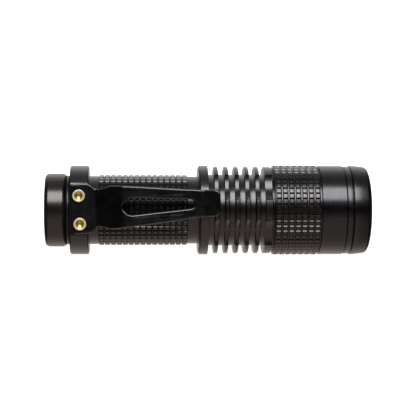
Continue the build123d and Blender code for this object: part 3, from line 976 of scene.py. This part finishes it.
def clip():
    """The spring clip in one sheet: base plate, ramp, slotted arm and flared tip."""
    half = eased(clip_half_plan, clip_plan_round, steps=5)
    half = half[:-1] + [
        (clip_length - clip_tip_round * (1 - sin(a)), half[-1][1] - clip_tip_round * (1 - cos(a)))
        for a in np.linspace(0, pi / 2, 9)
    ]
    outline = half + [(u, -v) for u, v in reversed(half)]
    mesh = flat_outline("clip_sheet", [outline, slot_outline()], clip_thickness / 2, clip_edge)
    sheet = bmesh.new()
    sheet.from_mesh(mesh)
    bmesh.ops.remove_doubles(sheet, verts=sheet.verts, dist=1e-4)
    bends = {p[0] for p in eased(clip_under, clip_bend_round, steps=6)}
    flexing = set(np.arange(3.0, 7.01, 0.25))
    arm = set(np.arange(8, 40, 2.0))
    for station in sorted(bends | flexing | arm):
        cut_across(sheet, (station, 0, 0), (1, 0, 0))
    for across in np.arange(-6, 6.1, 1.5):
        cut_across(sheet, (0, across, 0), (0, 1, 0))
    to_torch = clip_frame()
    for vertex in sheet.verts:
        u, v, w = vertex.co
        height, slope = clip_height(u)
        normal = Vector((-slope, 0, 1)).normalized()
        lifted = Vector((u, v, height)) + normal * (w + clip_thickness / 2)
        vertex.co = to_torch @ lifted * mm
    sheet.to_mesh(mesh)
    sheet.free()
    piece = finish_piece("pocket_clip", mesh, 40)
    placed(piece, None, ["clip_base", "clip_arm"], "clip_steel", clip_skin)
    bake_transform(piece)


def clip_screw(name, side):
    """A brass screw with a raised rim, a dished face and a hexagon socket."""
    base_z = collar_flat_z + clip_thickness
    head_r = 1.78
    head_h = 0.9
    shank_r = 0.95
    depth = 1.8
    socket_r = 0.92
    socket_floor = head_h - 0.45
    rings = [
        (-clip_thickness - depth, 0, 0),
        (-clip_thickness - depth, shank_r * 0.8, 0),
        (-clip_thickness - depth + 0.25, shank_r, 0),
        (0.02, shank_r, 0),
        (0.02, head_r - 0.08, 0),
        (0.1, head_r, 0),
        (head_h - 0.14, head_r, 0),
        (head_h - 0.05, head_r - 0.04, 0),
        (head_h, head_r - 0.13, 0),
        (head_h, head_r - 0.42, 0),
        (head_h - 0.05, head_r - 0.5, 0),
        (head_h - 0.3, socket_r + 0.16, 0.4),
        (head_h - 0.34, socket_r + 0.04, 0.8),
        (head_h - 0.4, socket_r, 1),
        (socket_floor, socket_r - 0.03, 1),
        (socket_floor - 0.03, socket_r - 0.1, 0.7),
        (socket_floor - 0.15, 0.5, 0),
        (socket_floor - 0.26, 0.2, 0),
        (socket_floor - 0.28, 0, 0),
    ]
    count = 72
    angles = np.arange(count) * tau / count
    sixth = np.mod(angles, tau / 6) - tau / 12
    hexagon = cos(pi / 6) / np.cos(sixth)
    vertices = []
    for z, r, hexed in rings:
        radii = r * (1 - hexed + hexed * hexagon)
        for a, radius in zip(angles, radii):
            along = screw_centre[0] + radius * cos(a)
            across = screw_centre[1] + side * screw_spacing / 2 + radius * sin(a)
            vertices.append((along, across, base_z + z))
    to_torch = clip_frame()
    vertices = [to_torch @ Vector(v) for v in vertices]
    piece = new_piece(name, vertices, ring_faces(len(rings), count))
    placed(piece, "tube", ["clip_screws"], "brass", screw_brass)


clip()
clip_screw("clip_screw_left", 1)
clip_screw("clip_screw_right", -1)

# ---- Lens --------------------------------------------------------------------------------------


def lens():
    """The clear lens: a flat back, a flange and an ellipse for its front."""
    back, apex = low("lens"), high("lens")
    flange_front = 88.2
    flange_r = 11.2
    dome_r = 10.1
    half_length = 20.0
    cosine = 1 - (apex - flange_front) / half_length
    half_width = dome_r / sqrt(1 - cosine**2)
    dome = [
        (apex - half_length + half_length * cos(a), half_width * sin(a))
        for a in np.linspace(acos(cosine), 0, 36)
    ]
    rear = [(back, 0), (back, 4), (back, 8), (back, flange_r - 0.15), (back + 0.15, flange_r)]
    outside = rear + [(flange_front - 0.1, flange_r), (flange_front, flange_r - 0.1)] + dome
    piece = turned("front_lens", outside, (), 160, None, 30)
    placed(piece, "head", ["lens"], "lens_clear")


lens()

# ---- Studio ------------------------------------------------------------------------------------

axis_middle = 47.95
camera_foot = 24.2
camera_height = 400.0
camera_lens = 117.0
floor_gap = 0.02
floor_half_width = 3000

softbox_size, softbox_size_y = 0.54, 0.45
softbox_brightness = 6.9
softbox_lean = radians(43)
softbox_distance = 0.75

# How bright the room is round the torch's axis, as (degrees from straight up towards +Y, brightness),
# with the softbox left out, and how it falls off towards the torch's two ends.
room_levels = [
    (-180, 0.80),
    (-125, 0.80),
    (-100, 0.56),
    (-88, 0.49),
    (-30, 0.49),
    (-20, 0.36),
    (-10, 0.15),
    (0, 0.0),
    (8, 0.0),
    (62, 0.2),
    (76, 0.25),
    (88, 0.22),
    (100, 0.34),
    (118, 0.75),
    (132, 1.15),
    (180, 0.85),
]
room_warm = (1.0, 0.87, 0.81)
room_cool = (0.98, 0.985, 1.0)
room_fall = [
    (0.0, 1.0),
    (0.22, 1.0),
    (0.45, 0.35),
    (0.6, 0.12),
    (0.93, 0.12),
    (0.97, 0.4),
    (1.0, 0.5),
]


def floor():
    """A pale glowing table under the torch, which its reflections don't show."""
    floor_z = low("head_sleeve", 2) - floor_gap
    corners = [
        Vector((floor_half_width * x, floor_half_width * y, floor_z)) * mm
        for x, y in ((-1, -1), (1, -1), (1, 1), (-1, 1))
    ]
    mesh = bpy.data.meshes.new("floor")
    mesh.from_pydata(corners, [], [(0, 1, 2, 3)])
    table_top = bpy.data.objects.new("floor", mesh)
    bpy.context.scene.collection.objects.link(table_top)
    n = Nodes("pale_table")
    n.set(Base_Color=(0.9, 0.9, 0.9), Roughness=0.9, Emission_Color=(1.0, 1.0, 1.0))
    n.shader.inputs["Emission Strength"].default_value = 0.95
    n.shader.inputs["Specular IOR Level"].default_value = 0.0
    mesh.materials.append(n.material)
    table_top.visible_glossy = False


def softbox():
    """One softbox on the +Y side, above the middle of the torch, with sizes in metres."""
    data = bpy.data.lights.new("softbox", "AREA")
    data.shape = "RECTANGLE"
    data.size = softbox_size
    data.size_y = softbox_size_y
    data.energy = softbox_brightness * pi * softbox_size * softbox_size_y
    data.color = (0.96, 0.96, 1.0)
    lamp = bpy.data.objects.new("softbox", data)
    bpy.context.scene.collection.objects.link(lamp)
    above = softbox_distance * cos(softbox_lean)
    lamp.location = (axis_middle * mm, softbox_distance * sin(softbox_lean), above)
    lamp.rotation_euler = (-softbox_lean, 0, 0)
    lamp.visible_camera = False


def room():
    """
    The room's light: white under the torch, dim at its sides, with a dark gap overhead, and warmer
    from the -Y side. The camera sees a plain pale room instead.
    """
    world = bpy.data.worlds.new("room")
    bpy.context.scene.world = world
    world.use_nodes = True
    tree = world.node_tree
    background = tree.nodes["Background"]
    output = tree.nodes["World Output"]

    def maths(operation, *values):
        node = tree.nodes.new("ShaderNodeMath")
        node.operation = operation
        for socket, value in zip(node.inputs, values):
            if isinstance(value, (int, float)):
                socket.default_value = value
            else:
                tree.links.new(value, socket)
        return node.outputs["Value"]

    direction = tree.nodes.new("ShaderNodeTexCoord").outputs["Generated"]
    parts = tree.nodes.new("ShaderNodeSeparateXYZ")
    tree.links.new(direction, parts.inputs["Vector"])
    angle = maths("ARCTAN2", parts.outputs["Y"], parts.outputs["Z"])
    turn = maths("MULTIPLY_ADD", angle, 1 / tau, 0.5)

    def levels(value, stops):
        ramp = tree.nodes.new("ShaderNodeValToRGB")
        elements = ramp.color_ramp.elements
        while len(elements) < len(stops):
            elements.new(0.5)
        top = max(level for _, level in stops)
        for element, (place, level) in zip(elements, stops):
            element.position = place
            element.color = (level / top, level / top, level / top, 1)
        tree.links.new(value, ramp.inputs["Fac"])
        return maths("MULTIPLY", ramp.outputs["Color"], top)

    around = levels(turn, [(degree / 360 + 0.5, level) for degree, level in room_levels])
    along = levels(maths("ABSOLUTE", parts.outputs["X"]), room_fall)
    strength = maths("MULTIPLY", around, along)
    tree.links.new(strength, background.inputs["Strength"])
    shade = tree.nodes.new("ShaderNodeMix")
    shade.data_type = "RGBA"
    tree.links.new(maths("MULTIPLY_ADD", parts.outputs["Y"], 4.0, 0.0), shade.inputs["Factor"])
    shade.inputs["A"].default_value = (*room_warm, 1)
    shade.inputs["B"].default_value = (*room_cool, 1)
    tree.links.new(shade.outputs["Result"], background.inputs["Color"])

    pale = tree.nodes.new("ShaderNodeBackground")
    pale.inputs["Color"].default_value = (0.92, 0.92, 0.92, 1)
    seen = tree.nodes.new("ShaderNodeLightPath").outputs["Is Camera Ray"]
    either = tree.nodes.new("ShaderNodeMixShader")
    tree.links.new(seen, either.inputs["Fac"])
    tree.links.new(background.outputs["Background"], either.inputs[1])
    tree.links.new(pale.outputs["Background"], either.inputs[2])
    tree.links.new(either.outputs["Shader"], output.inputs["Surface"])


def camera():
    """The camera, above the tail half and leaning a little towards the head."""
    data = bpy.data.cameras.new("camera")
    data.sensor_width = 36
    data.lens = camera_lens
    seen_from = bpy.data.objects.new("camera", data)
    bpy.context.scene.collection.objects.link(seen_from)
    seen_from.location = (camera_foot * mm, 0, camera_height * mm)
    seen_from.rotation_euler = (0, -atan2(axis_middle - camera_foot, camera_height), 0)
    bpy.context.scene.camera = seen_from


floor()
softbox()
room()
camera()
bpy.context.scene.view_settings.view_transform = "Standard"
